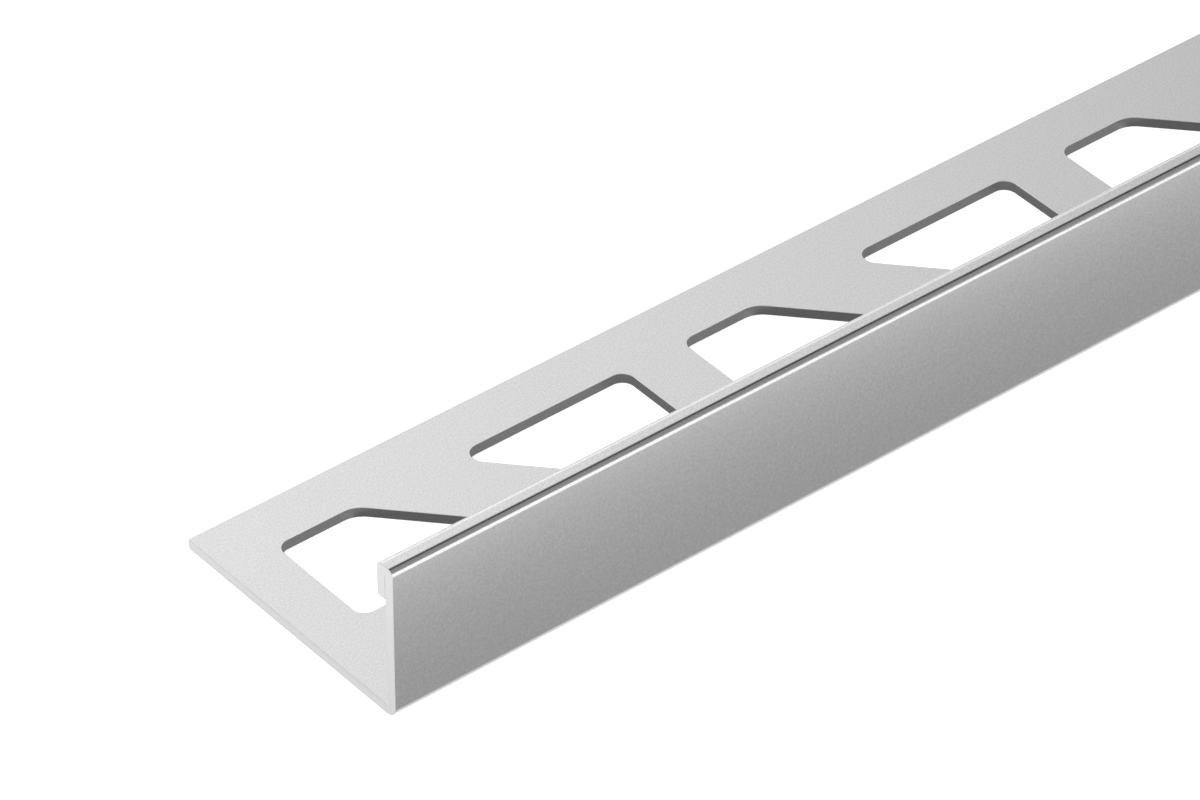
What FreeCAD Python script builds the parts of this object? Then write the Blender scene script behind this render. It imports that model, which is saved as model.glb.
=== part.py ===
import FreeCAD, Part
import math
import os
import Sketcher

# Tile edge trim: one strip of satin stainless sheet, roll formed into an L.
# The leg lies flat under the tiles in their adhesive and is pierced all along
# with pairs of slant-sided openings; the wall stands up at the tile's edge and
# its top is folded back on itself into a closed hem, the rounded nose that
# stays in sight. Lengths are millimetres.
#
# Frame: +X runs along the strip, +Y from the wall towards the leg's free edge,
# +Z up from the leg's underside. The origin is under the middle of the strip.

NODE = "trim_profile"

# name in the sheet, value, what it measures
DRIVING = [
    ("stock_length", 1000.0, "length of the strip as it is sold"),
    ("wall_height", 15.0, "underside of the leg to the top of the hem"),
    ("leg_width", 27.0, "outer face of the wall to the free edge of the leg"),
    ("gauge", 0.97, "sheet thickness, a nominal 1 mm sheet"),
    ("bend_inside", 0.2, "inside radius of the bend between leg and wall"),
    ("hem_return", 3.4, "top of the hem down to the end of its return"),
    ("hem_gap", 0.04, "hairline gap left inside the closed hem"),
    ("nose_round", 0.59, "rounding from the wall's outer face to the hem's flat top"),
    ("crown_round", 1.33, "slow rounding of the hem's top from its flat towards the return"),
    ("crown_drop", 0.18, "how far that slow rounding falls before the return's corner"),
    ("return_round", 0.37, "corner between the crowned top and the return"),
    ("edge_round", 0.12, "worn-in rounding of the rolled sheet edges"),
    ("first_opening", 4.92, "cut end of the strip to the first opening"),
    ("pair_pitch", 42.0, "step from one pair of openings to the next"),
    ("short_side", 7.88, "short parallel side of an opening, to its sharp corner"),
    ("long_side", 18.27, "long parallel side of an opening, to its sharp corner"),
    ("opening_depth", 11.19, "opening measured across the leg"),
    ("edge_strip", 5.15, "plain strip between the openings and the free edge"),
    ("slant_web", 9.75, "metal between the two openings of a pair, along the strip"),
    ("corner_round", 1.15, "rounding of the square and acute corners"),
    ("obtuse_round", 2.5, "rounding of the obtuse corner"),
    ("plain_end", 5.0, "least plain length left after the last pair"),
]

doc = FreeCAD.newDocument("tile_edge_trim")
sheet = doc.addObject("Spreadsheet::Sheet", "Sizes")
size = {}
for row, (alias, value, meaning) in enumerate(DRIVING, start=1):
    sheet.set(f"A{row}", meaning)
    sheet.set(f"B{row}", str(value))
    sheet.setAlias(f"B{row}", alias)
    size[alias] = value
doc.recompute()

START, END, CENTRE = 1, 2, 3
ORIGIN = -1
UP = FreeCAD.Vector(0, 0, 1)


def origin_feature(body, role):
    """Origin plane or axis of the body that has this role."""
    return next(f for f in body.Origin.OriginFeatures if f.Role == role)


def new_sketch(body, name, role):
    """Empty sketch of the body, flat on one of its origin planes."""
    sketch = body.newObject("Sketcher::SketchObject", name)
    sketch.AttachmentSupport = [(origin_feature(body, role), "")]
    sketch.MapMode = "FlatFace"
    return sketch


def point(xy):
    """Sketch point as a vector."""
    return FreeCAD.Vector(xy[0], xy[1], 0)


def add_line(sketch, start, end):
    """Line that is walked from start to end; returns (index, from end, to end)."""
    index = sketch.addGeometry(Part.LineSegment(point(start), point(end)), False)
    return index, START, END


def add_arc(sketch, centre, start, end, turn):
    """Arc about centre, walked from start to end; turn is +1 leftwards, -1 rightwards."""
    first, last = (start, end) if turn > 0 else (end, start)
    angle = [math.atan2(p[1] - centre[1], p[0] - centre[0]) for p in (first, last)]
    circle = Part.Circle(point(centre), UP, math.dist(centre, start))
    index = sketch.addGeometry(Part.ArcOfCircle(circle, *angle), False)
    return (index, START, END) if turn > 0 else (index, END, START)


def join_tangent(sketch, chain):
    """Close a chain of walked pieces, each one running smoothly into the next."""
    for (index, _, leave), (follower, enter, _) in zip(chain, chain[1:] + chain[:1]):
        sketch.addConstraint(Sketcher.Constraint("Tangent", index, leave, follower, enter))


def bind(sketch, name, kind, references, value, formula):
    """Dimension that takes its value from the sheet; formula speaks of the sheet's names."""
    number = sketch.addConstraint(Sketcher.Constraint(kind, *references, value))
    sketch.renameConstraint(number, name)
    words = [f"Sizes.{w}" if w in size else w for w in formula.split()]
    sketch.setExpression(f"Constraints.{name}", " ".join(words))


def draw_section(body):
    """Section of the bent strip, across its length: leg, bend, wall and closed hem."""
    sketch = new_sketch(body, "Section", "YZ_Plane")
    thick, inside = size["gauge"], size["bend_inside"]
    outside = inside + thick
    slit, edge, nose_round = size["hem_gap"] / 2, size["edge_round"], size["nose_round"]
    outer = -size["leg_width"] / 2
    inner, free = outer + thick, -outer
    fold, back = inner + 2 * slit, inner + 2 * slit + thick
    top = size["wall_height"]
    crease = top - thick - slit
    tail = top - size["hem_return"]
    crown, corner, drop = size["crown_round"], size["return_round"], size["crown_drop"]
    slope = math.acos(1 - drop / crown)
    flat_end = back - corner - (crown - corner) * math.sin(slope)
    knee = (flat_end + crown * math.sin(slope), top - drop)
    corner_centre = (back - corner, knee[1] - corner * math.cos(slope))

    outer_bend = add_arc(sketch, (outer + outside, outside), (outer + outside, 0), (outer, outside), -1)
    nose_base, flat_start = (outer, top - nose_round), (outer + nose_round, top)
    outer_face = add_line(sketch, (outer, outside), nose_base)
    nose = add_arc(sketch, (flat_start[0], nose_base[1]), nose_base, flat_start, -1)
    hem_top = add_line(sketch, flat_start, (flat_end, top))
    hem_crown = add_arc(sketch, (flat_end, top - crown), (flat_end, top), knee, -1)
    return_corner = add_arc(sketch, corner_centre, knee, (back, corner_centre[1]), -1)
    return_face = add_line(sketch, (back, corner_centre[1]), (back, tail + edge))
    tail_round_out = add_arc(sketch, (back - edge, tail + edge), (back, tail + edge), (back - edge, tail), -1)
    tail_edge = add_line(sketch, (back - edge, tail), (fold + edge, tail))
    tail_round_in = add_arc(sketch, (fold + edge, tail + edge), (fold + edge, tail), (fold, tail + edge), -1)
    return_inside = add_line(sketch, (fold, tail + edge), (fold, crease))
    hem_crease = add_arc(sketch, (inner + slit, crease), (fold, crease), (inner, crease), 1)
    inner_face = add_line(sketch, (inner, crease), (inner, outside))
    inner_bend = add_arc(sketch, (inner + inside, outside), (inner, outside), (inner + inside, thick), 1)
    leg_top = add_line(sketch, (inner + inside, thick), (free - edge, thick))
    free_round_top = add_arc(sketch, (free - edge, thick - edge), (free - edge, thick), (free, thick - edge), -1)
    free_edge = add_line(sketch, (free, thick - edge), (free, edge))
    free_round_low = add_arc(sketch, (free - edge, edge), (free, edge), (free - edge, 0), -1)
    underside = add_line(sketch, (free - edge, 0), (outer + outside, 0))

    join_tangent(sketch, [
        outer_bend, outer_face, nose, hem_top, hem_crown, return_corner, return_face,
        tail_round_out, tail_edge, tail_round_in, return_inside, hem_crease, inner_face,
        inner_bend, leg_top, free_round_top, free_edge, free_round_low, underside,
    ])
    for level in (hem_top, tail_edge, leg_top, underside):
        sketch.addConstraint(Sketcher.Constraint("Horizontal", level[0]))
    for upright in (outer_face, return_face, return_inside, inner_face, free_edge):
        sketch.addConstraint(Sketcher.Constraint("Vertical", upright[0]))
    sketch.addConstraint(Sketcher.Constraint("PointOnObject", underside[0], START, ORIGIN))

    for name, arc, radius, formula in (
        ("inner_radius", inner_bend, inside, "bend_inside"),
        ("outer_radius", outer_bend, outside, "bend_inside + gauge"),
        ("nose_radius", nose, nose_round, "nose_round"),
        ("crown_radius", hem_crown, crown, "crown_round"),
        ("return_radius", return_corner, corner, "return_round"),
        ("crease_radius", hem_crease, slit, "hem_gap / 2"),
        ("tail_out", tail_round_out, edge, "edge_round"),
        ("tail_in", tail_round_in, edge, "edge_round"),
        ("free_top", free_round_top, edge, "edge_round"),
        ("free_low", free_round_low, edge, "edge_round"),
    ):
        bind(sketch, name, "Radius", (arc[0],), radius, formula)
    crown_end = hem_crown[0], hem_crown[2]
    for name, kind, references, value, formula in (
        ("wall_side", "DistanceX", (outer_face[0], START, ORIGIN, START), -outer, "leg_width / 2"),
        ("leg_side", "DistanceX", (ORIGIN, START, free_edge[0], START), free, "leg_width / 2"),
        ("wall_gauge", "DistanceX", (outer_face[0], START, inner_face[0], START), thick, "gauge"),
        ("return_gauge", "DistanceX", (return_inside[0], START, return_face[0], START), thick, "gauge"),
        ("leg_gauge", "DistanceY", (ORIGIN, START, leg_top[0], START), thick, "gauge"),
        ("hem_level", "DistanceY", (ORIGIN, START, hem_top[0], START), top, "wall_height"),
        ("crown_fall", "DistanceY", (*crown_end, hem_top[0], START), drop, "crown_drop"),
        ("fold_gauge", "DistanceY", (hem_crease[0], CENTRE, hem_top[0], START), top - crease, "gauge + hem_gap / 2"),
        ("return_height", "DistanceY", (tail_edge[0], START, hem_top[0], START), top - tail, "hem_return"),
    ):
        bind(sketch, name, kind, references, value, formula)
    return sketch


def draw_opening(sketch, name, straight, side, far_level):
    """One slant-sided opening with rounded corners.

    The straight side stands square across the leg at x = straight. The opening
    reaches away from it along side (+1 or -1). Its short parallel side is at
    the level far_level ("free" next to the leg's free edge, "wall" next to the
    wall) and its long one at the other. Returns the parts that carry dimensions.
    """
    high = size["leg_width"] / 2 - size["edge_strip"]
    low = high - size["opening_depth"]
    short_y, long_y = (high, low) if far_level == "free" else (low, high)
    sharp = [
        (straight, short_y),
        (straight + side * size["short_side"], short_y),
        (straight + side * size["long_side"], long_y),
        (straight, long_y),
    ]
    radius = [size["corner_round"], size["obtuse_round"], size["corner_round"], size["corner_round"]]
    corners = [rounded_corner(sharp[i - 1], sharp[i], sharp[(i + 1) % 4], radius[i]) for i in range(4)]
    chain = []
    for i in range(4):
        start, centre, end, turn = corners[i]
        chain.append(add_arc(sketch, centre, start, end, turn))
        chain.append(add_line(sketch, end, corners[(i + 1) % 4][0]))
    join_tangent(sketch, chain)
    short_line, slant_line, long_line, straight_line = chain[1], chain[3], chain[5], chain[7]
    sketch.addConstraint(Sketcher.Constraint("Horizontal", short_line[0]))
    sketch.addConstraint(Sketcher.Constraint("Horizontal", long_line[0]))
    sketch.addConstraint(Sketcher.Constraint("Vertical", straight_line[0]))
    for i, alias in enumerate(("corner_round", "obtuse_round", "corner_round", "corner_round")):
        bind(sketch, f"{name}_round_{i}", "Radius", (chain[2 * i][0],), radius[i], alias)
    short_tip = sharp_corner(sketch, sharp[1], short_line, slant_line)
    long_tip = sharp_corner(sketch, sharp[2], long_line, slant_line)
    return short_line, long_line, straight_line, short_tip, long_tip


def rounded_corner(before, corner, after, radius):
    """Start, centre, end and turn of the arc that rounds a corner between two sides."""
    back = FreeCAD.Vector(before[0] - corner[0], before[1] - corner[1], 0).normalize()
    ahead = FreeCAD.Vector(after[0] - corner[0], after[1] - corner[1], 0).normalize()
    half = back.getAngle(ahead) / 2
    tip = point(corner)
    start = tip + back * (radius / math.tan(half))
    end = tip + ahead * (radius / math.tan(half))
    centre = tip + (back + ahead).normalize() * (radius / math.sin(half))
    turn = -1 if back.cross(ahead).z > 0 else 1
    return (start.x, start.y), (centre.x, centre.y), (end.x, end.y), turn


def sharp_corner(sketch, xy, first, second):
    """Construction point where two sides would meet if the corner weren't rounded."""
    index = sketch.addGeometry(Part.Point(point(xy)), True)
    for line in (first, second):
        sketch.addConstraint(Sketcher.Constraint("PointOnObject", index, START, line[0]))
    return index


def draw_opening_pair(body):
    """First pair of openings, the second the first one turned by half a turn.

    Their slanted sides face each other across a slanted web of even width.
    """
    sketch = new_sketch(body, "OpeningPair", "XY_Plane")
    begin = size["first_opening"] - size["stock_length"] / 2
    length = size["short_side"] + size["slant_web"] + size["long_side"]
    high = size["leg_width"] / 2 - size["edge_strip"]
    short_a, long_a, straight_a, tip_a, toe_a = draw_opening(sketch, "near", begin, 1, "free")
    short_b, long_b, straight_b, tip_b, toe_b = draw_opening(sketch, "far", begin + length, -1, "wall")

    bind(
        sketch, "cut_end_to_pair", "DistanceX", (straight_a[0], START, ORIGIN, START), -begin,
        "stock_length / 2 - first_opening",
    )
    bind(
        sketch, "free_edge_to_opening", "DistanceY", (ORIGIN, START, short_a[0], START), high,
        "leg_width / 2 - edge_strip",
    )
    bind(
        sketch, "depth", "DistanceY", (long_a[0], START, short_a[0], START),
        size["opening_depth"], "opening_depth",
    )
    bind(
        sketch, "short", "DistanceX", (straight_a[0], START, tip_a, START),
        size["short_side"], "short_side",
    )
    bind(
        sketch, "long", "DistanceX", (straight_a[0], START, toe_a, START),
        size["long_side"], "long_side",
    )
    sketch.addConstraint(Sketcher.Constraint("PointOnObject", tip_a, START, long_b[0]))
    sketch.addConstraint(Sketcher.Constraint("PointOnObject", toe_a, START, short_b[0]))
    bind(
        sketch, "web_at_free_edge", "DistanceX", (tip_a, START, toe_b, START),
        size["slant_web"], "slant_web",
    )
    bind(
        sketch, "web_at_wall", "DistanceX", (toe_a, START, tip_b, START),
        size["slant_web"], "slant_web",
    )
    bind(
        sketch, "short_far", "DistanceX", (tip_b, START, straight_b[0], START),
        size["short_side"], "short_side",
    )
    return sketch


def build_strip():
    """Bent strip, then its pairs of openings all along the leg."""
    body = doc.addObject("PartDesign::Body", "Strip")
    body.Label = NODE

    strip = body.newObject("PartDesign::Pad", "RolledStrip")
    strip.Profile = draw_section(body)
    strip.SideType = "Symmetric"
    strip.setExpression("Length", "Sizes.stock_length")
    doc.recompute()
    plain = strip.Shape.Volume

    pair = body.newObject("PartDesign::Pocket", "PiercedPair")
    pair.Profile = draw_opening_pair(body)
    pair.Type = "ThroughAll"
    pair.SideType = "Symmetric"
    doc.recompute()
    pierced = plain - pair.Shape.Volume

    row = body.newObject("PartDesign::LinearPattern", "PairsAlongLeg")
    row.Originals = [pair]
    row.Direction = (origin_feature(body, "X_Axis"), [""])
    row.Mode = "Spacing"
    row.setExpression("Offset", "Sizes.pair_pitch")
    row.setExpression(
        "Occurrences",
        "floor((Sizes.stock_length - Sizes.first_opening - Sizes.plain_end - Sizes.short_side"
        " - Sizes.slant_web - Sizes.long_side) / Sizes.pair_pitch) + 1",
    )
    body.Tip = row
    doc.recompute()
    removed = plain - row.Shape.Volume
    print(f"plain strip {plain:.1f} mm3, one pair {pierced:.3f} mm3, pairs {row.Occurrences}")
    if not math.isclose(removed, pierced * row.Occurrences, rel_tol=1e-6):
        raise RuntimeError(f"the openings remove {removed:.3f} mm3, not one pair times their number")
    return body


strip = build_strip()

for item in doc.Objects:
    if {"Invalid", "Error"} & set(item.State):
        raise RuntimeError(f"{item.Name} failed to rebuild: {item.State}")
for sketch in doc.findObjects("Sketcher::SketchObject"):
    if sketch.solve() != 0 or not sketch.FullyConstrained:
        raise RuntimeError(f"{sketch.Name} isn't fully held by its dimensions")
if strip.Shape.isNull() or not strip.Shape.isValid() or len(strip.Shape.Solids) != 1:
    raise RuntimeError("the strip isn't one valid solid")

os.makedirs("parts", exist_ok=True)
strip.Shape.exportStep(f"parts/{strip.Label}.step")
box = strip.Shape.BoundBox
print(f"{strip.Label}: {box.XLength:.2f} x {box.YLength:.2f} x {box.ZLength:.2f} mm,"
      f" volume {strip.Shape.Volume:.1f} mm3, faces {len(strip.Shape.Faces)}")
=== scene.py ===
import math

import bpy
import numpy as np
from mathutils import Matrix, Vector


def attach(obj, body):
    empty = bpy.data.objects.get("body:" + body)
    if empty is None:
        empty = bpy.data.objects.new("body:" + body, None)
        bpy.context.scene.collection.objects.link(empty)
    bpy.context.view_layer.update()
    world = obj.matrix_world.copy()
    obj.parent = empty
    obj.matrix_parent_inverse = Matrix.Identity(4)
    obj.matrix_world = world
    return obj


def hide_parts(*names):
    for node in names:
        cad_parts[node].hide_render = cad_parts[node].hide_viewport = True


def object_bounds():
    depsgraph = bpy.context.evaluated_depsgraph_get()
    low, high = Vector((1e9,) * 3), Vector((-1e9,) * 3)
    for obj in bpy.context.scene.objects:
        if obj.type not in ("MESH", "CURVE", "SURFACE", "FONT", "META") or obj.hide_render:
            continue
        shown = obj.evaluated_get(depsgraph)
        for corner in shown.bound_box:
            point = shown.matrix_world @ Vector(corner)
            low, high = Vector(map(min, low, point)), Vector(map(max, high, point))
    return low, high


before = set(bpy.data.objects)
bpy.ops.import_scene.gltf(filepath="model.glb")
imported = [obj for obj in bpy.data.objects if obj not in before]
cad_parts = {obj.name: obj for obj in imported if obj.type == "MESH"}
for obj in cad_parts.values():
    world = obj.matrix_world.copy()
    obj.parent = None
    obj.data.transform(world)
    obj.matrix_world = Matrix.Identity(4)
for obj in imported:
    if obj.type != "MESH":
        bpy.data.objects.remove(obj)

# Tile edge trim of satin stainless sheet: a leg pierced with pairs of slant
# sided openings, a wall standing up from it, and a closed hem along its top.
# Lengths below are millimetres, as in the part's own source; MM turns them
# into the frame's metres.

MM = 0.001
CAD_LOW, CAD_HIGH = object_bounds()

# The strip
STOCK_LENGTH = 1000.0
WALL_HEIGHT = 15.0
LEG_WIDTH = 27.0
GAUGE = 0.97
BEND_INSIDE = 0.2
HEM_RETURN = 3.4
HEM_GAP = 0.04
NOSE_ROUND = 0.59

# Forms drawn a little crisper than the solid's, never more than 0.03 mm off it:
# the hem's rear rounding, the sheet's edges, and the crease, pressed shut
CROWN_ROUND = 0.85
CROWN_DROP = 0.249
RETURN_ROUND = 0.34
EDGE_ROUND = 0.07
CREASE = 0.02

# Roundings that the solid leaves out: along the cut ends, along the crease's
# own edges there, and along the edges of the openings
CUT_ROUND = 0.05
CREASE_ROUND = 0.025
PIERCED_ROUND = 0.05

# The openings
FIRST_OPENING = 4.92
PAIR_PITCH = 42.0
PAIRS = 23
SHORT_SIDE = 7.88
LONG_SIDE = 18.27
OPENING_DEPTH = 11.19
EDGE_STRIP = 5.15
SLANT_WEB = 9.75
CORNER_ROUND = 1.15
OBTUSE_ROUND = 2.5

# How finely the curves are divided
STEPS_EDGE = 4
STEPS_BEND = 10
STEPS_NOSE = 14
STEPS_CROWN = 9
STEPS_CORNER = 7
STEPS_CREASE = STEPS_NOSE + STEPS_CROWN + STEPS_CORNER + 1
STEPS_HALF_CORNER = 4
STEPS_SIDE = 10
STEPS_PLAIN = 8
STEPS_RIM = 96
# Points are welded on a lattice with this many steps to the millimetre
WELD_STEPS = 1e5

OUTER_Y = -LEG_WIDTH / 2
INNER_Y = OUTER_Y + GAUGE
FREE_Y = LEG_WIDTH / 2
LEG_FRONT_Y = INNER_Y + BEND_INSIDE
LEG_BACK_Y = FREE_Y - EDGE_ROUND
OPENING_HIGH_Y = FREE_Y - EDGE_STRIP
OPENING_LOW_Y = OPENING_HIGH_Y - OPENING_DEPTH
PAIR_LENGTH = SHORT_SIDE + SLANT_WEB + LONG_SIDE
SHEET, CUT, PIERCED = 0, 1, 2


def arc(centre, radius, start, end, steps, hollow=False):
    """Points and normals of an arc in the section, from one angle to the other.

    Angles are in degrees from +Y towards +Z. The point at angle a is the centre
    plus radius times (cos a, sin a); its normal is (cos a, sin a), turned round
    where the metal is outside the arc.
    """
    angle = np.radians(np.linspace(start, end, steps + 1))
    ray = np.stack([np.cos(angle), np.sin(angle)], axis=1)
    return np.array(centre) + radius * ray, -ray if hollow else ray


def straight(start, end, normal, steps):
    """Points strictly between two points of the section, evenly spaced, with their normal."""
    share = np.linspace(0, 1, steps + 1)[1:-1, None]
    points = np.array(start) * (1 - share) + np.array(end) * share
    return points, np.tile(np.array(normal, float), (len(points), 1))


def section():
    """Outline of the bent sheet as two matched skins, each from free edge to hem tail.

    The low skin is the sheet's face that ends up outside: leg underside, bend,
    outer wall, nose, crown, return. The high skin is its other face: leg top,
    inner bend, inner wall, crease, inside of the return. Point k of one lies
    across the sheet from point k of the other, so the cut face is a row of
    quads. The hem's top is level behind the nose, then falls away on the slow
    arc of the crown, which the tighter corner of the return takes over at the
    slope whose cosine is 1 minus the crown's drop over its radius.
    Returns the low skin, the high skin and the first and last leg index.
    """
    outside = BEND_INSIDE + GAUGE
    slit = CREASE / 2
    back = INNER_Y + HEM_GAP + GAUGE
    fold = INNER_Y + CREASE
    tail = WALL_HEIGHT - HEM_RETURN + EDGE_ROUND
    crease = WALL_HEIGHT - GAUGE - slit
    slope = math.acos(1 - CROWN_DROP / CROWN_ROUND)
    knee = 90 - math.degrees(slope)
    flat_end = back - RETURN_ROUND - (CROWN_ROUND - RETURN_ROUND) * math.sin(slope)
    corner_z = WALL_HEIGHT - CROWN_DROP - RETURN_ROUND * math.cos(slope)
    crown = arc((flat_end, WALL_HEIGHT - CROWN_ROUND), CROWN_ROUND, 90, knee, STEPS_CROWN)
    low = [
        arc((LEG_BACK_Y, EDGE_ROUND), EDGE_ROUND, 0, -90, STEPS_EDGE),
        straight((LEG_BACK_Y, 0), (LEG_FRONT_Y, 0), (0, -1), STEPS_SIDE),
        arc((OUTER_Y + outside, outside), outside, -90, -180, STEPS_BEND),
        arc((OUTER_Y + NOSE_ROUND, WALL_HEIGHT - NOSE_ROUND), NOSE_ROUND, 180, 90, STEPS_NOSE),
        tuple(part[:-1] for part in crown),
        arc((back - RETURN_ROUND, corner_z), RETURN_ROUND, knee, 0, STEPS_CORNER),
        arc((back - EDGE_ROUND, tail), EDGE_ROUND, 0, -90, STEPS_EDGE),
    ]
    high = [
        arc((LEG_BACK_Y, GAUGE - EDGE_ROUND), EDGE_ROUND, 0, 90, STEPS_EDGE),
        straight((LEG_BACK_Y, GAUGE), (LEG_FRONT_Y, GAUGE), (0, 1), STEPS_SIDE),
        arc((LEG_FRONT_Y, GAUGE + BEND_INSIDE), BEND_INSIDE, 270, 180, STEPS_BEND, hollow=True),
        arc((INNER_Y + slit, crease), slit, 180, 0, STEPS_CREASE, hollow=True),
        arc((fold + EDGE_ROUND, tail), EDGE_ROUND, 180, 270, STEPS_EDGE),
    ]
    skins = [tuple(np.concatenate(part) for part in zip(*pieces)) for pieces in (low, high)]
    return skins[0], skins[1], STEPS_EDGE, STEPS_EDGE + STEPS_SIDE


class Patches:
    """Grids of quads gathered for one mesh, each point with its own normal."""

    def __init__(self):
        self.points, self.normals, self.quads, self.slots = [], [], [], []
        self.count = 0

    def add(self, points, normals, slot, turned=False):
        """Add a grid (rows, columns, 3) or a stack of grids (n, rows, columns, 3).

        Quads join neighbours; a plain grid faces along rows x columns.
        """
        if points.ndim == 3:
            points, normals = points[None], normals[None]
        stack, rows, columns, _ = points.shape
        index = self.count + np.arange(stack * rows * columns).reshape(stack, rows, columns)
        corners = [index[:, :-1, :-1], index[:, 1:, :-1], index[:, 1:, 1:], index[:, :-1, 1:]]
        quads = np.stack(corners[::-1] if turned else corners, axis=-1).reshape(-1, 4)
        self.points.append(points.reshape(-1, 3))
        self.normals.append(np.broadcast_to(normals, points.shape).reshape(-1, 3))
        self.quads.append(quads)
        self.slots.append(np.full(len(quads), slot))
        self.count += stack * rows * columns

    def build(self, name):
        """One mesh object, with points that coincide welded and the given normals."""
        points = np.concatenate(self.points)
        key = np.round(points * WELD_STEPS).astype(np.int64)
        _, first, joined = np.unique(key, axis=0, return_index=True, return_inverse=True)
        quads = joined.reshape(-1)[np.concatenate(self.quads)]
        mesh = bpy.data.meshes.new(name)
        mesh.vertices.add(len(first))
        mesh.vertices.foreach_set("co", (points[first] * MM).ravel())
        mesh.loops.add(quads.size)
        mesh.loops.foreach_set("vertex_index", quads.ravel())
        mesh.polygons.add(len(quads))
        mesh.polygons.foreach_set("loop_start", np.arange(0, quads.size, 4))
        mesh.polygons.foreach_set("material_index", np.concatenate(self.slots))
        mesh.update(calc_edges=True)
        mesh.validate()
        mesh.shade_smooth()
        normals = np.concatenate(self.normals)[first]
        mesh.normals_split_custom_set_from_vertices(normals)
        piece = bpy.data.objects.new(name, mesh)
        bpy.context.scene.collection.objects.link(piece)
        return piece


def swept(skin, normals, stations):
    """Skin of the section carried along the strip: rows are stations, columns its points."""
    rows, columns = len(stations), len(skin)
    points = np.empty((rows, columns, 3))
    points[..., 0] = stations[:, None]
    points[..., 1:] = skin[None]
    facing = np.zeros((rows, columns, 3))
    facing[..., 1:] = normals[None]
    return points, facing


def opening_outline(turned):
    """One opening about its pair's start, walked from mid corner to mid corner.

    Returns points and the normals that point into the opening, (4, side, 2)
    each: a side is half a corner arc, the straight and half the next corner
    arc. The first corner is the square one on the short side, the second the
    obtuse one, then the acute one. The second opening of a pair is the first
    turned by half a turn about the middle of the slanted web.
    """
    sharp = np.array([
        [0.0, OPENING_HIGH_Y], [SHORT_SIDE, OPENING_HIGH_Y],
        [LONG_SIDE, OPENING_LOW_Y], [0.0, OPENING_LOW_Y],
    ])
    radius = np.array([CORNER_ROUND, OBTUSE_ROUND, CORNER_ROUND, CORNER_ROUND])
    along = np.roll(sharp, -1, axis=0) - sharp
    along /= np.linalg.norm(along, axis=1)[:, None]
    inward = np.stack([along[:, 1], -along[:, 0]], axis=1)
    before = np.roll(inward, 1, axis=0)
    turn = np.arccos(np.clip((before * inward).sum(axis=1), -1, 1))
    middle = before + inward
    middle /= np.linalg.norm(middle, axis=1)[:, None]
    centre = sharp + middle * (radius / np.cos(turn / 2))[:, None]

    def corner(index, shares):
        """Points and normals of the arc round a corner; shares run from -1 to 1."""
        angle = np.arctan2(middle[index, 1], middle[index, 0]) - shares * turn[index] / 2
        ray = np.stack([np.cos(angle), np.sin(angle)], axis=1)
        return centre[index] - radius[index] * ray, ray

    half = np.linspace(0, 1, STEPS_HALF_CORNER + 1)
    sides, rays = [], []
    for index in range(4):
        leaving, leaving_ray = corner(index, half)
        arriving, arriving_ray = corner((index + 1) % 4, half - 1)
        steps = STEPS_SIDE - 2 * STEPS_HALF_CORNER
        share = np.linspace(0, 1, steps + 1)[1:-1, None]
        between = leaving[-1] * (1 - share) + arriving[0] * share
        sides.append(np.concatenate([leaving, between, arriving]))
        rays.append(np.concatenate([leaving_ray, np.tile(inward[index], (steps - 1, 1)), arriving_ray]))
    points, normals = np.array(sides), np.array(rays)
    if turned:
        pivot = np.array([PAIR_LENGTH, OPENING_HIGH_Y + OPENING_LOW_Y])
        points, normals = pivot - points, -normals
    return points, normals


def cell_outline(turned):
    """Edge of the patch of leg round one opening, matched side by side to its outline.

    The patch reaches halfway across each web and to both long edges of the
    leg's flat; its slanted side keeps the slant of the opening.
    """
    lean = (LONG_SIDE - SHORT_SIDE) / OPENING_DEPTH
    left = -(PAIR_PITCH - PAIR_LENGTH) / 2
    middle_high = SHORT_SIDE + SLANT_WEB / 2
    slant_back = middle_high - (LEG_BACK_Y - OPENING_HIGH_Y) * lean
    slant_front = middle_high + (OPENING_HIGH_Y - LEG_FRONT_Y) * lean
    right = PAIR_LENGTH - left
    if turned:
        corners = [
            [right, LEG_FRONT_Y], [slant_front, LEG_FRONT_Y],
            [slant_back, LEG_BACK_Y], [right, LEG_BACK_Y],
        ]
    else:
        corners = [
            [left, LEG_BACK_Y], [slant_back, LEG_BACK_Y],
            [slant_front, LEG_FRONT_Y], [left, LEG_FRONT_Y],
        ]
    corners = np.array(corners)
    share = np.linspace(0, 1, STEPS_SIDE + 1)[None, :, None]
    return corners[:, None] * (1 - share) + np.roll(corners, -1, axis=0)[:, None] * share


def pair_starts():
    """X of the start of each pair of openings, counted from the strip's middle."""
    return FIRST_OPENING - STOCK_LENGTH / 2 + PAIR_PITCH * np.arange(PAIRS)


def at_level(outline, level):
    """Flat outline (4, side, 2) repeated for each pair, at one height."""
    starts = pair_starts()
    points = np.empty((len(starts) * 4, outline.shape[1], 3))
    moved = outline[None] + np.stack([starts, np.zeros_like(starts)], axis=1)[:, None, None]
    points[..., :2] = moved.reshape(-1, outline.shape[1], 2)
    points[..., 2] = level
    return points


def facing_of(flat, tilt, repeat):
    """Normals between level and upright: cos(tilt) times the flat ray plus sin(tilt) upwards."""
    normal = np.empty(flat.shape[:2] + (3,))
    normal[..., :2] = flat * math.cos(tilt)
    normal[..., 2] = math.sin(tilt)
    return np.tile(normal, (repeat, 1, 1))


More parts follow.
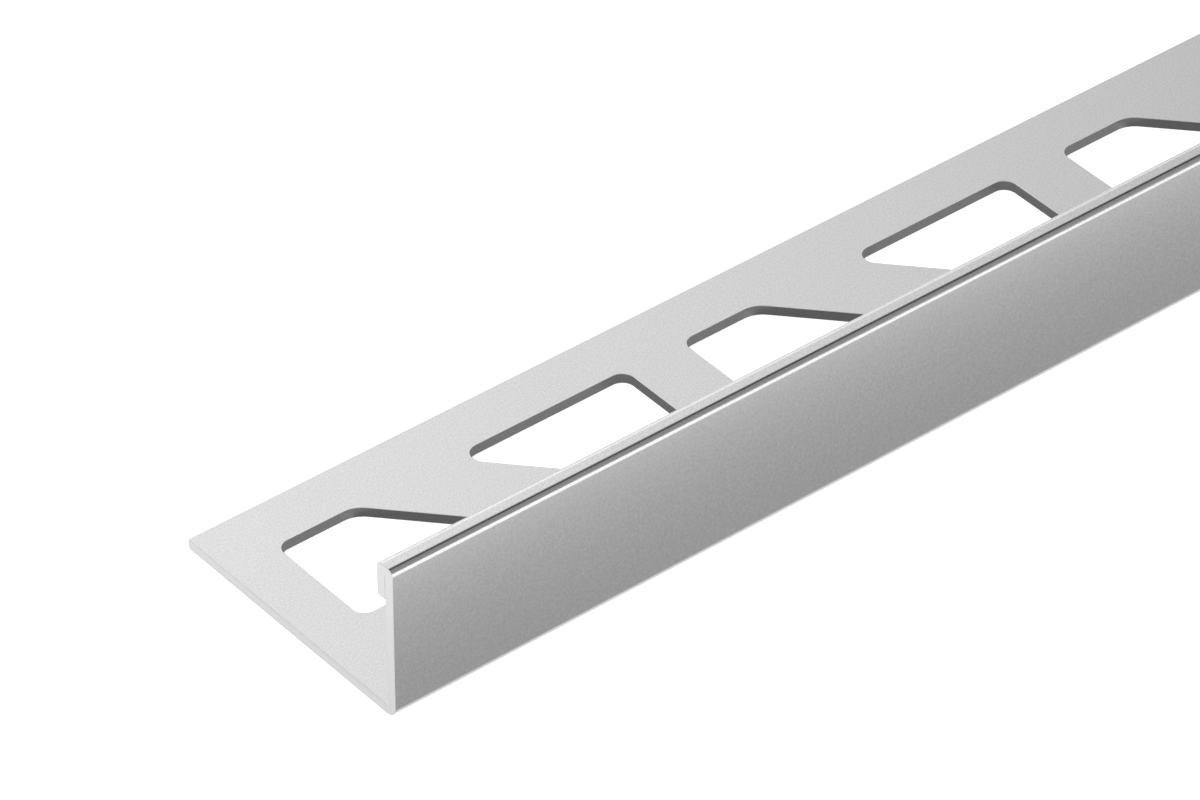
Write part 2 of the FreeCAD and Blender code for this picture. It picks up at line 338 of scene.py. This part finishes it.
def add_openings(patches):
    """Leg's flats round every opening, and the pierced walls with their rounded edges.

    Down a wall the rings are a quarter round from the leg's top, the straight
    wall and a quarter round into the underside. At tilt a the ring stands back
    from the opening by the radius times (1 - cos a) and off the face by the
    radius times (1 - sin a).
    """
    tilts = np.radians(np.linspace(90, 0, STEPS_EDGE))
    for turned in (False, True):
        outline, ray = opening_outline(turned)
        cell = cell_outline(turned)
        rings, facings = [], []
        for tilt in tilts:
            back = outline - ray * PIERCED_ROUND * (1 - math.cos(tilt))
            rings.append(at_level(back, GAUGE - PIERCED_ROUND * (1 - math.sin(tilt))))
            facings.append(facing_of(ray, tilt, PAIRS))
        for tilt in -tilts[::-1]:
            back = outline - ray * PIERCED_ROUND * (1 - math.cos(tilt))
            rings.append(at_level(back, PIERCED_ROUND * (1 + math.sin(tilt))))
            facings.append(facing_of(ray, tilt, PAIRS))
        wall, wall_facing = np.stack(rings, axis=1), np.stack(facings, axis=1)
        patches.add(wall, wall_facing, PIERCED)
        up = np.array([0.0, 0.0, 1.0])
        top = np.stack([at_level(cell, GAUGE), rings[0]], axis=1)
        under = np.stack([rings[-1], at_level(cell, 0.0)], axis=1)
        patches.add(top, up, SHEET)
        patches.add(under, -up, SHEET)


def add_strip(patches):
    """Everything of the strip but the pierced part of the leg."""
    low, high, leg_start, leg_end = section()
    half = STOCK_LENGTH / 2
    starts = pair_starts()
    front = np.concatenate([cell_outline(False)[2, ::-1, 0], cell_outline(True)[0, ::-1, 0][1:]])
    back = np.concatenate([cell_outline(False)[0, :, 0], cell_outline(True)[2, :, 0][1:]])
    plain_near = np.array([-half + CUT_ROUND])
    plain_far = np.linspace(starts[-1] + back[-1], half - CUT_ROUND, STEPS_PLAIN + 1)[1:]

    def stations(edge):
        """X of every column of points along one long edge of the leg's flat.

        A pair's last column is the next pair's first, so it is taken once.
        """
        pierced = (starts[:, None] + edge[None, :-1]).ravel()
        return np.concatenate([plain_near, pierced, starts[-1:] + edge[-1], plain_far])

    front_x, back_x = stations(front), stations(back)
    for (skin, normals), turned in ((low, False), (high, True)):
        points, facing = swept(skin[leg_end:], normals[leg_end:], front_x)
        patches.add(points, facing, SHEET, turned=turned)
        points, facing = swept(skin[:leg_start + 1], normals[:leg_start + 1], back_x)
        patches.add(points, facing, SHEET, turned=turned)
        leg = slice(leg_start, leg_end + 1)
        for span in ([plain_near[0], starts[0] + back[0]], np.r_[starts[-1] + back[-1], plain_far]):
            points, facing = swept(skin[leg], normals[leg], np.array(span))
            patches.add(points, facing, SHEET, turned=turned)
    for index, stretch in ((0, back_x), (-1, front_x)):
        edge = np.stack([low[0][index], high[0][index]])
        normal = np.stack([low[1][index], high[1][index]])
        points, facing = swept(edge, normal, stretch)
        patches.add(points, facing, SHEET, turned=index == 0)
    add_cut_ends(patches, low, high, half)


def add_cut_ends(patches, low, high, half):
    """Cut faces at both ends, with the fine rounding that deburring leaves round them.

    Going round at tilt a from the cut face (0) to the sheet's faces (90), the
    outline stands in from the sheet's by its own width times (1 - sin a), and
    back from the cut face by the radius times (1 - cos a). The width is the
    radius all round but at the crease, where it is finer; the normal leans
    from the cut face by the radius times sin a against the width times cos a.
    """
    tilt = np.radians(np.linspace(0, 90, STEPS_EDGE + 1))[:, None]
    outline = np.concatenate([low[0], high[0][::-1], low[0][:1]])
    normal = np.concatenate([low[1], high[1][::-1], low[1][:1]])
    width = np.full(len(outline), CUT_ROUND)
    crease_start = len(low[0]) + STEPS_EDGE + 1
    width[crease_start:crease_start + STEPS_CREASE + 1] = CREASE_ROUND
    lean = np.arctan2(CUT_ROUND * np.sin(tilt), width * np.cos(tilt))
    for side in (-1, 1):
        points = np.empty((len(tilt), len(outline), 3))
        points[..., 0] = side * (half - CUT_ROUND * (1 - np.cos(tilt)))
        points[..., 1:] = outline[None] - normal[None] * (width * (1 - np.sin(tilt)))[..., None]
        facing = np.empty_like(points)
        facing[..., 0] = side * np.cos(lean)
        facing[..., 1:] = normal[None] * np.sin(lean)[..., None]
        patches.add(points, facing, CUT, turned=side > 0)
        count = len(low[0])
        ends = np.stack([points[0, :count], points[0, count:2 * count][::-1]])
        patches.add(ends, np.array([float(side), 0.0, 0.0]), CUT, turned=side < 0)


def linear(hex_colour):
    """Linear RGBA of an sRGB colour written as six hex digits."""
    channel = [int(hex_colour[i:i + 2], 16) / 255 for i in (0, 2, 4)]
    value = [c / 12.92 if c <= 0.04045 else ((c + 0.055) / 1.055) ** 2.4 for c in channel]
    return (*value, 1.0)


def add_node(tree, kind, settings=None, **inputs):
    """New shader node; settings are its own, inputs are set by name or linked to a socket.

    An input's name is written with underscores for spaces; where names repeat,
    as on arithmetic, in_0, in_1 and so on count them.
    """
    node = tree.nodes.new(kind)
    for name, value in (settings or {}).items():
        setattr(node, name, value)
    for name, value in inputs.items():
        key = int(name[3:]) if name.startswith("in_") else name.replace("_", " ")
        socket = node.inputs[key]
        if isinstance(value, bpy.types.NodeSocket):
            tree.links.new(value, socket)
        else:
            socket.default_value = value
    return node


# The grain's noise value in a hollow and on a peak, how far roughness follows
# it, and how much finer grain lies in the coarse one
GRAIN_HOLLOW = 0.3
GRAIN_PEAK = 0.7
ROUGHNESS_SPREAD = 0.08
GRAIN_DETAIL = 2.0
GRAIN_SHARE = 0.6


def stainless(name, dark, light, roughness, grain, depth):
    """Bare stainless steel with an even, undirected grain.

    The grain's size and depth are millimetres. Its peaks are the light colour
    and its hollows the dark one, which are also a little rougher.
    """
    material = bpy.data.materials.new(name)
    material.use_nodes = True
    tree = material.node_tree
    shader = tree.nodes["Principled BSDF"]
    shader.inputs["Metallic"].default_value = 1.0
    place = add_node(tree, "ShaderNodeTexCoord").outputs["Object"]
    height = add_node(
        tree, "ShaderNodeTexNoise",
        Vector=place, Scale=1 / (grain * MM), Detail=GRAIN_DETAIL, Roughness=GRAIN_SHARE,
    ).outputs["Fac"]
    speckle = add_node(
        tree, "ShaderNodeMapRange", Value=height, From_Min=GRAIN_HOLLOW, From_Max=GRAIN_PEAK,
    ).outputs["Result"]
    colour = add_node(
        tree, "ShaderNodeMix", {"data_type": "RGBA"}, in_0=speckle, in_6=linear(dark), in_7=linear(light),
    ).outputs[2]
    rough = add_node(
        tree, "ShaderNodeMapRange", Value=speckle,
        To_Min=roughness * (1 + ROUGHNESS_SPREAD), To_Max=roughness * (1 - ROUGHNESS_SPREAD),
    ).outputs["Result"]
    bump = add_node(tree, "ShaderNodeBump", Height=height, Distance=depth * MM).outputs["Normal"]
    tree.links.new(colour, shader.inputs["Base Color"])
    tree.links.new(rough, shader.inputs["Roughness"])
    tree.links.new(bump, shader.inputs["Normal"])
    return material


# The table and the backdrop, in metres, and the table's own glow
FLOOR_RADIUS = 40.0
BACKDROP_HEIGHT = 20.0
FLOOR_BELOW = 0.02 * MM
CARD_BELOW = 0.01 * MM
FLOOR_WHITE = "f4f4f4"
FLOOR_ROUGHNESS = 0.9
FLOOR_GLOW = 0.65

# Soft lights round the strip: azimuth from +X towards +Y, elevation, radius of
# the full and of the fading part, all in degrees, and radiance
SOFT_LIGHTS = (
    ("back box", 83.4, 33.4, 2.4, 46.9, 2.11),
    ("low front box", -87.9, -20.7, 28.0, 47.6, 3.75),
    ("right front box", -25.0, 14.0, 6.0, 26.0, 1.0),
    ("left front box", -145.0, 28.0, 12.0, 44.0, 1.0),
    ("overhead box", 180.0, 72.0, 8.0, 36.0, 0.9),
)
SURROUND = 0.472
# The dark flag that draws the line along the hem: azimuth, elevation, the two radii
FLAG = (49.1, 56.2, 28.1, 30.5)

# Glowing cards on the table, seen by the steel only, whose glow is painted
# reflection of the table: painted contact shade by the wall's foot, a painted
# bright table further out, and painted reflections behind the leg and beyond
# the cut end. Columns: the two corners, the way in which the glow changes and
# the stretch over which it does, in mm, and the radiance at both ends of that
# stretch. Lengths count from the near cut end's outer lower corner.
PAINTED_REFLECTION_CARDS = (
    # Painted contact shade at the wall's foot, darkest next to it, which the outer wall mirrors
    ("near_front_painted_contact_shade", (0.0, -18.2), (STOCK_LENGTH, -0.4), (0.0, -1.0, 0.0), (0.4, 21.0), (0.659, 0.914)),
    # Painted bright table further out, which the nose mirrors as its white line
    ("far_front_painted_reflection", (0.0, -73.8), (STOCK_LENGTH, -18.2), (0.0, -1.0, 0.0), (18.2, 32.0), (2.02, 2.3)),
    # Painted reflection of the table behind the leg, brighter next to it
    ("rear_painted_reflection", (0.0, 27.4), (STOCK_LENGTH, 127.0), (0.0, 1.0, 0.0), (27.4, 73.0), (1.47, 0.73)),
    # Painted reflection of the table beyond the cut end, darker next to it
    ("end_painted_reflection", (-26.0, -14.0), (-0.2, 41.0), (-0.95, 0.31, 0.0), (0.2, 22.0), (1.45, 1.8)),
)
# The card under the openings, whose glow is painted contact shade of the table
# under the leg as the openings' walls mirror it, darkest under the first
# opening's slanted wall: mm from a pair's start to the next, and radiance there
OPENING_CARD_MARGIN = 1.0
OPENING_PAINTED_SHADE = (
    (0.0, 0.36), (1.0, 0.4), (6.9, 0.4), (7.35, 0.48), (7.64, 0.42), (7.76, 0.225), (17.0, 0.22), (19.0, 0.3),
    (20.5, 0.36), (22.0, 0.4), (32.5, 0.4), (34.0, 0.36), (35.2, 0.29), (36.5, 0.29), (PAIR_PITCH, 0.36),
)


def stage_piece(name, points, faces, material):
    """Piece of the stage from points in metres: not part of the object."""
    mesh = bpy.data.meshes.new(name)
    mesh.from_pydata(points, [], faces)
    mesh.materials.append(material)
    piece = bpy.data.objects.new(name, mesh)
    bpy.context.scene.collection.objects.link(piece)
    return piece


def make_table():
    """Round white table under the strip, glowing evenly like a light table."""
    material = bpy.data.materials.new("white_light_table")
    material.use_nodes = True
    shader = material.node_tree.nodes["Principled BSDF"]
    shader.inputs["Base Color"].default_value = linear(FLOOR_WHITE)
    shader.inputs["Roughness"].default_value = FLOOR_ROUGHNESS
    shader.inputs["Specular IOR Level"].default_value = 0.0
    shader.inputs["Emission Color"].default_value = linear("ffffff")
    shader.inputs["Emission Strength"].default_value = FLOOR_GLOW
    angle = np.linspace(0, 2 * math.pi, STEPS_RIM, endpoint=False)
    level = np.full_like(angle, CAD_LOW.z - FLOOR_BELOW)
    rim = np.stack([FLOOR_RADIUS * np.cos(angle), FLOOR_RADIUS * np.sin(angle), level], axis=1)
    stage_piece("floor", rim.tolist(), [list(range(len(rim)))], material)


def glow_material(name):
    """Emission alone; returns the material, its tree and its emission node."""
    material = bpy.data.materials.new(name)
    material.use_nodes = True
    tree = material.node_tree
    tree.nodes.clear()
    emission = add_node(tree, "ShaderNodeEmission")
    add_node(tree, "ShaderNodeOutputMaterial", Surface=emission.outputs["Emission"])
    return material, tree, emission


def make_backdrop():
    """White wall round the table's rim, which only the camera sees."""
    material, _, emission = glow_material("white_backdrop")
    emission.inputs["Strength"].default_value = 1.0
    angle = np.linspace(0, 2 * math.pi, STEPS_RIM, endpoint=False)
    ring = np.stack([FLOOR_RADIUS * np.cos(angle), FLOOR_RADIUS * np.sin(angle), 0 * angle], axis=1)
    count = len(ring)
    points = np.concatenate([ring - [0, 0, BACKDROP_HEIGHT], ring + [0, 0, BACKDROP_HEIGHT]])
    here = np.arange(count)
    after = np.roll(here, -1)
    faces = np.stack([here, here + count, after + count, after], axis=1)
    backdrop = stage_piece("backdrop", points.tolist(), faces.tolist(), material)
    backdrop.visible_diffuse = False
    backdrop.visible_glossy = False
    backdrop.visible_transmission = False
    backdrop.visible_shadow = False


def card(name, low, high):
    """Card lying on the table between two corners in mm, out of the camera's sight.

    Its glow is painted reflection: the steel mirrors it as the table with its
    painted shade and light. Returns its tree, its emission's strength and its
    coordinates in metres from the near cut end's outer lower corner.
    """
    material, tree, emission = glow_material(name)
    (left, front), (right, back) = low, high
    level = CAD_LOW.z - CARD_BELOW
    points = [(x * MM, y * MM, 0.0) for x, y in ((left, front), (right, front), (right, back), (left, back))]
    piece = stage_piece(name, points, [(0, 1, 2, 3)], material)
    piece.location = (-STOCK_LENGTH / 2 * MM, OUTER_Y * MM, level)
    piece.visible_camera = False
    piece.visible_diffuse = False
    piece.visible_transmission = False
    piece.visible_shadow = False
    return tree, emission.inputs["Strength"], add_node(tree, "ShaderNodeTexCoord").outputs["Object"]


def make_cards():
    """Cards before the wall, behind the leg and beyond the cut end, and one under the openings, glowing with
    painted reflections of the table and its painted contact shade.
    """
    for name, low, high, way, (start, end), (first, last) in PAINTED_REFLECTION_CARDS:
        tree, strength, place = card(name, low, high)
        along = add_node(
            tree, "ShaderNodeVectorMath", {"operation": "DOT_PRODUCT"}, in_0=place, in_1=way,
        ).outputs["Value"]
        glow = add_node(
            tree, "ShaderNodeMapRange", {"interpolation_type": "SMOOTHSTEP"}, Value=along,
            From_Min=start * MM, From_Max=end * MM, To_Min=first, To_Max=last,
        ).outputs["Result"]
        tree.links.new(glow, strength)
    low_y = LEG_WIDTH - EDGE_STRIP - OPENING_DEPTH - OPENING_CARD_MARGIN
    high_y = LEG_WIDTH - EDGE_STRIP + OPENING_CARD_MARGIN
    # Its glow is painted contact shade of the table under the leg, repeating with the pairs of openings
    tree, strength, place = card("opening_painted_contact_shade", (0.0, low_y), (STOCK_LENGTH, high_y))
    along = add_node(tree, "ShaderNodeSeparateXYZ", Vector=place).outputs["X"]
    pairs = add_node(
        tree, "ShaderNodeMath", {"operation": "MULTIPLY_ADD"},
        in_0=along, in_1=1 / (PAIR_PITCH * MM), in_2=-FIRST_OPENING / PAIR_PITCH,
    ).outputs["Value"]
    share = add_node(tree, "ShaderNodeMath", {"operation": "FRACT"}, in_0=pairs).outputs["Value"]
    ramp = add_node(tree, "ShaderNodeValToRGB", Fac=share)
    stops = ramp.color_ramp.elements
    for at, _ in OPENING_PAINTED_SHADE[1:-1]:
        stops.new(at / PAIR_PITCH)
    for stop, (_, radiance) in zip(stops, OPENING_PAINTED_SHADE):
        stop.color = (radiance, radiance, radiance, 1.0)
    tree.links.new(ramp.outputs["Color"], strength)


def round_patch(tree, way, azimuth, elevation, inner, outer):
    """1 within the inner radius of a direction, 0 beyond the outer one, smooth between.

    The patch is worked out from the cosine of the angle between the two directions.
    """
    turn, rise = math.radians(azimuth), math.radians(elevation)
    middle = (math.cos(rise) * math.cos(turn), math.cos(rise) * math.sin(turn), math.sin(rise))
    cosine = add_node(
        tree, "ShaderNodeVectorMath", {"operation": "DOT_PRODUCT"}, in_0=way, in_1=middle,
    ).outputs["Value"]
    return add_node(
        tree, "ShaderNodeMapRange", {"interpolation_type": "SMOOTHSTEP"}, Value=cosine,
        From_Min=math.cos(math.radians(outer)), From_Max=math.cos(math.radians(inner)),
    ).outputs["Result"]


def make_studio():
    """Soft lights as round patches of the surround, which one dark flag cuts into."""
    world = bpy.data.worlds.new("studio")
    world.use_nodes = True
    tree = world.node_tree
    way = add_node(tree, "ShaderNodeTexCoord").outputs["Generated"]
    shade = round_patch(tree, way, *FLAG)
    total = add_node(
        tree, "ShaderNodeMath", {"operation": "MULTIPLY_ADD"}, in_0=shade, in_1=-SURROUND, in_2=SURROUND,
    ).outputs["Value"]
    for _, *place, radiance in SOFT_LIGHTS:
        patch = round_patch(tree, way, *place)
        total = add_node(
            tree, "ShaderNodeMath", {"operation": "MULTIPLY_ADD"}, in_0=patch, in_1=radiance, in_2=total,
        ).outputs["Value"]
    tree.links.new(total, tree.nodes["Background"].inputs["Strength"])
    tree.nodes["Background"].inputs["Color"].default_value = linear("ffffff")
    bpy.context.scene.world = world


# The camera: place in mm from the near cut end's outer lower corner, aim in
# degrees (yaw from +X towards +Y, pitch downwards), lens and sensor in mm
CAMERA_PLACE = (-249.24, -331.27, 361.51)
CAMERA_YAW = 50.8513
CAMERA_PITCH = 38.5133
CAMERA_ROLL = 0.0408
CAMERA_LENS = 212.275
CAMERA_SENSOR = 36.0
# Nearest and farthest distance that it sees, in metres
CAMERA_CLIP = (0.01, 100.0)


def make_camera():
    """Long lens from the near end, above the wall's outer side, without shift or blur."""
    yaw, pitch, roll = (math.radians(a) for a in (CAMERA_YAW, CAMERA_PITCH, CAMERA_ROLL))
    ahead = Vector((math.cos(yaw) * math.cos(pitch), math.sin(yaw) * math.cos(pitch), -math.sin(pitch)))
    level = Vector((math.sin(yaw), -math.cos(yaw), 0.0))
    upright = level.cross(ahead)
    right = math.cos(roll) * level + math.sin(roll) * upright
    up = math.cos(roll) * upright - math.sin(roll) * level
    data = bpy.data.cameras.new("camera")
    data.lens = CAMERA_LENS
    data.sensor_width = CAMERA_SENSOR
    data.clip_start, data.clip_end = CAMERA_CLIP
    camera = bpy.data.objects.new("camera", data)
    corner = Vector((-STOCK_LENGTH / 2, OUTER_Y, 0.0))
    turn = Matrix((right, up, -ahead)).transposed()
    camera.matrix_world = Matrix.Translation((corner + Vector(CAMERA_PLACE)) * MM) @ turn.to_4x4()
    bpy.context.scene.collection.objects.link(camera)
    bpy.context.scene.camera = camera


patches = Patches()
add_openings(patches)
add_strip(patches)
trim = patches.build("trim")
# Satin rolled stainless sheet, a soft even sheen with a fine speckle
trim.data.materials.append(stainless("satin_stainless", "adadad", "bbbbbb", 0.25, 0.16, 0.0016))
# Sawn and deburred ends of the same sheet, a little duller
trim.data.materials.append(stainless("sawn_stainless", "b0b0b0", "b8b8b8", 0.36, 0.1, 0.002))
# Walls of the punched openings, sheared and left as they are
trim.data.materials.append(stainless("punched_stainless", "a8a8a8", "b8b8b8", 0.3, 0.12, 0.003))
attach(trim, "root")
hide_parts("trim_profile")
make_table()
make_backdrop()
make_cards()
make_studio()
make_camera()
bpy.context.scene.view_settings.view_transform = "Standard"
bpy.context.scene.view_settings.look = "None"
